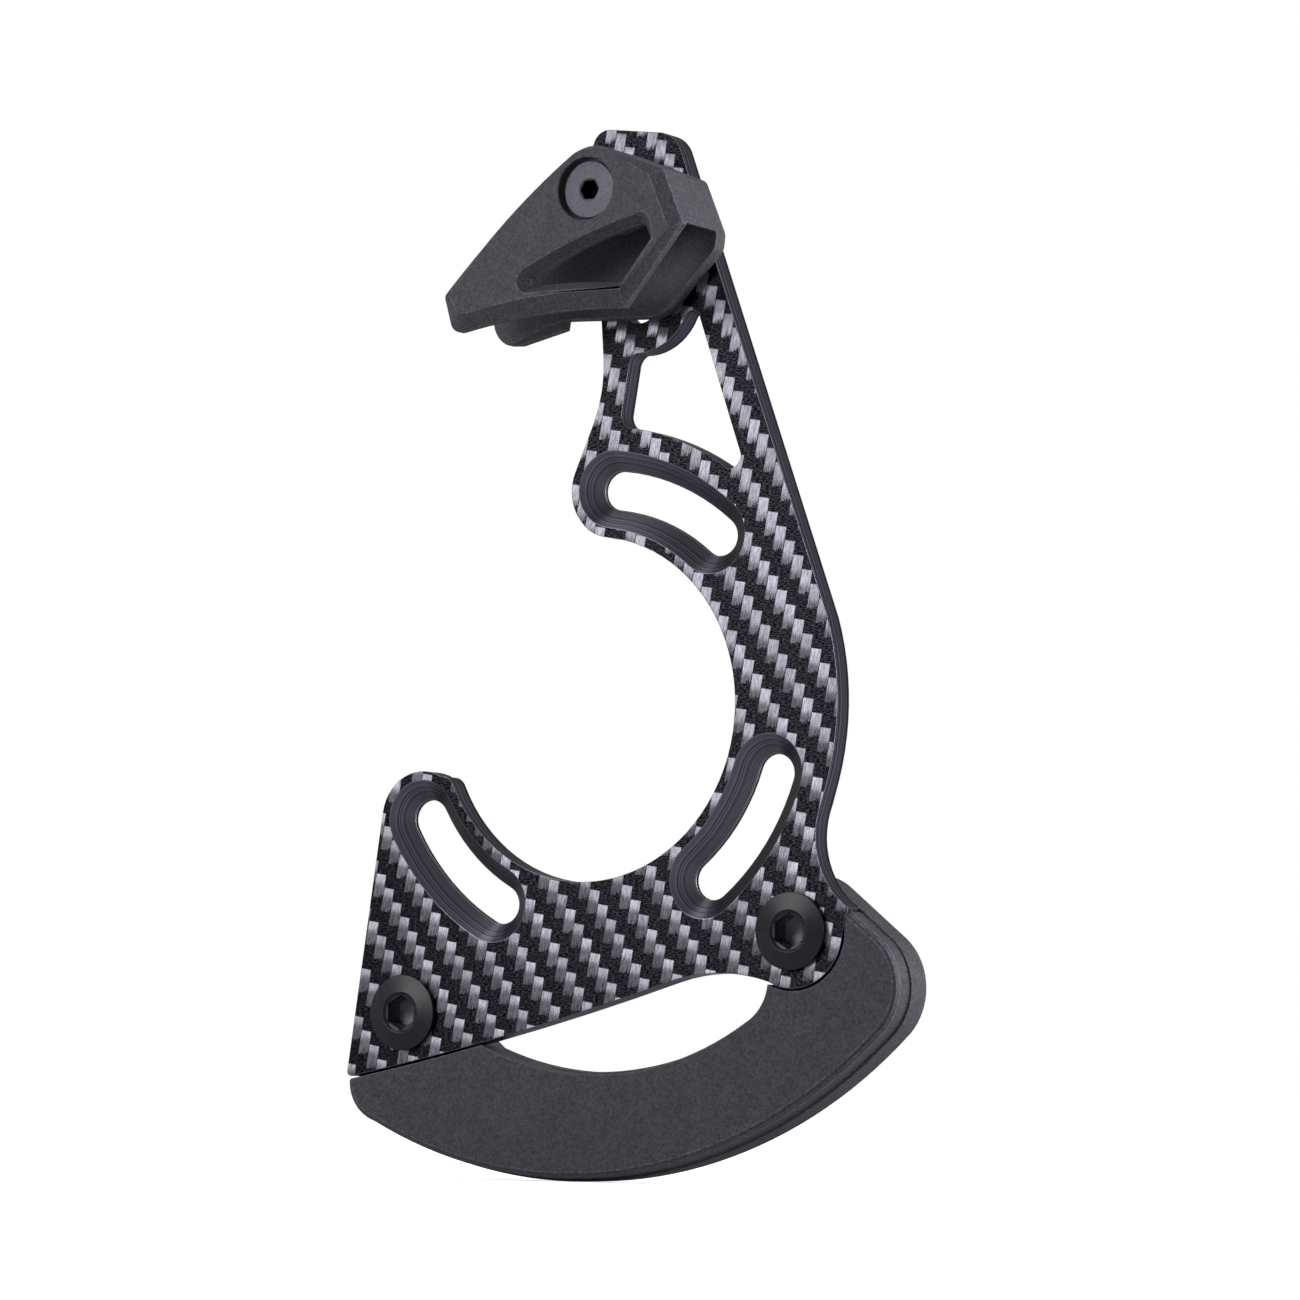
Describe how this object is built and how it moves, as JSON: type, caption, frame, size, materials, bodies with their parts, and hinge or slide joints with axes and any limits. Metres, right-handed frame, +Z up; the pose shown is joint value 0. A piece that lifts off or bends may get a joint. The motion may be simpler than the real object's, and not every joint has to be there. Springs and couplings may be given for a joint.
{
  "type": "chain guide",
  "caption": "Bicycle chain guide: slotted carbon backplate for frame tabs, height-adjustable moulded upper guide over the chain and a moulded bash guard below.",
  "frame": {"origin": "on the crank axis, at the backplate's back face, which bears on the frame's tabs", "axes": "+X forward along the plate, +Z up along the seat tube's side, +Y in towards the frame"},
  "size_m": [0.1059, 0.0245, 0.1739],
  "materials": {
    "carbon_laminate": "satin twill-woven carbon laminate",
    "moulded_nylon": "fine-grained moulded nylon",
    "black_steel": "black oxide",
    "black_aluminium": "black anodised"
  },
  "bodies": {
    "plate": {"backplate": "carbon_laminate", "bash_guard": "moulded_nylon", "guard_bolts": "black_aluminium", "guard_nuts": "black_aluminium"},
    "guide": {"guide_outer": "moulded_nylon", "guide_inner": "moulded_nylon", "guide_bolt": "black_steel", "guide_nut": "black_aluminium"}
  },
  "joints": [
    {"name": "guide_height", "type": "slide", "parent": "plate", "child": "guide", "axis": [-0.0785, 0, 0.9969], "range_m": [-0.01375, 0.001]}
  ]
}
